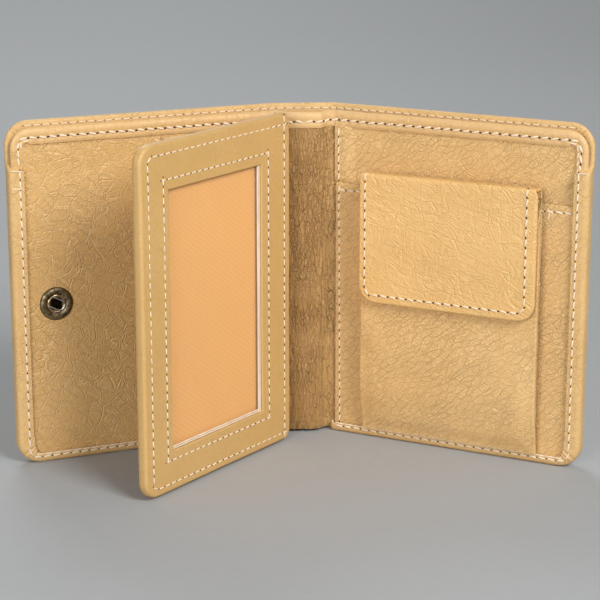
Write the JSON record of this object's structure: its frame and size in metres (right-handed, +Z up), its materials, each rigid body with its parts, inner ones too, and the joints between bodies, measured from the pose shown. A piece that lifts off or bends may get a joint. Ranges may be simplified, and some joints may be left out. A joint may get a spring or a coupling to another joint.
{
  "type": "bifold wallet",
  "caption": "Leather bifold wallet standing open in a V, with a swinging card-window page, slip pockets, a press-stud socket and a flapped coin pocket.",
  "frame": {"origin": "on the floor at the middle of the spine's bottom edge, midway between the two creases", "axes": "+X across the open wallet to the viewer's right, +Y out of the spine's back, so the covers open towards -Y, +Z up"},
  "size_m": [0.1808, 0.0709, 0.11],
  "materials": {
    "tan_leather": "light tan leather with a crumpled crease grain, satin",
    "page_leather": "light tan leather, smoother grain, satin",
    "spine_leather": "darker handled leather with vertical wrinkles, satin",
    "lining_cloth": "plain woven lining",
    "backing_cloth": "peach twill",
    "fibre_board": "bonded fibre board",
    "clear_sheet": "clear flexible sheet",
    "antique_brass": "antique brass with a worn rim",
    "steel": "plain steel"
  },
  "bodies": {
    "spine": {"spine_outer_strip": "tan_leather", "spine_bill_lining": "lining_cloth", "spine_lining": "spine_leather"},
    "left_cover": {"left_outer_shell": "tan_leather", "left_stiffener_board": "fibre_board", "left_bill_lining": "lining_cloth", "left_inner_panel": "tan_leather", "left_slip_pocket": "tan_leather", "snap_socket_ring": "antique_brass", "snap_socket_cap": "antique_brass", "snap_spring": "steel"},
    "right_cover": {"right_outer_shell": "tan_leather", "right_stiffener_board": "fibre_board", "right_bill_lining": "lining_cloth", "right_inner_panel": "tan_leather", "right_slip_pocket": "tan_leather", "coin_pocket_back": "lining_cloth", "coin_pocket_front": "tan_leather", "coin_pocket_gusset_left": "tan_leather", "coin_pocket_gusset_right": "tan_leather", "coin_pocket_keeper": "steel", "coin_flap_hinge_roll": "tan_leather"},
    "coin_flap": {"coin_flap_outer": "tan_leather", "coin_flap_lining": "lining_cloth", "coin_flap_magnet": "steel"},
    "card_page": {"page_hinge_strip": "spine_leather", "page_front_frame": "page_leather", "page_window": "clear_sheet", "page_backing": "backing_cloth", "page_back_ply": "page_leather", "page_stud": "antique_brass"}
  },
  "joints": [
    {"name": "left_fold", "type": "hinge", "parent": "spine", "child": "left_cover", "pos_m": [-0.0105, 0, 0], "axis": [0, 0, 1], "range_deg": [-19, 71], "deforming": ["snap_spring"]},
    {"name": "right_fold", "type": "hinge", "parent": "spine", "child": "right_cover", "pos_m": [0.0105, 0, 0], "axis": [0, 0, -1], "range_deg": [-30, 60]},
    {"name": "page_turn", "type": "hinge", "parent": "spine", "child": "card_page", "pos_m": [-0.00617, -0.0073, 0], "axis": [0, 0, 1], "range_deg": [-10.5, 39]},
    {"name": "flap_lift", "type": "hinge", "parent": "right_cover", "child": "coin_flap", "pos_m": [0.00537, -0.00888, 0.0893], "axis": [-0.866, 0.5, 0], "range_deg": [0, 180]}
  ],
  "couplings": [
    {"joint": "page_turn", "follows": "left_fold", "ratio": 0.5493}
  ]
}
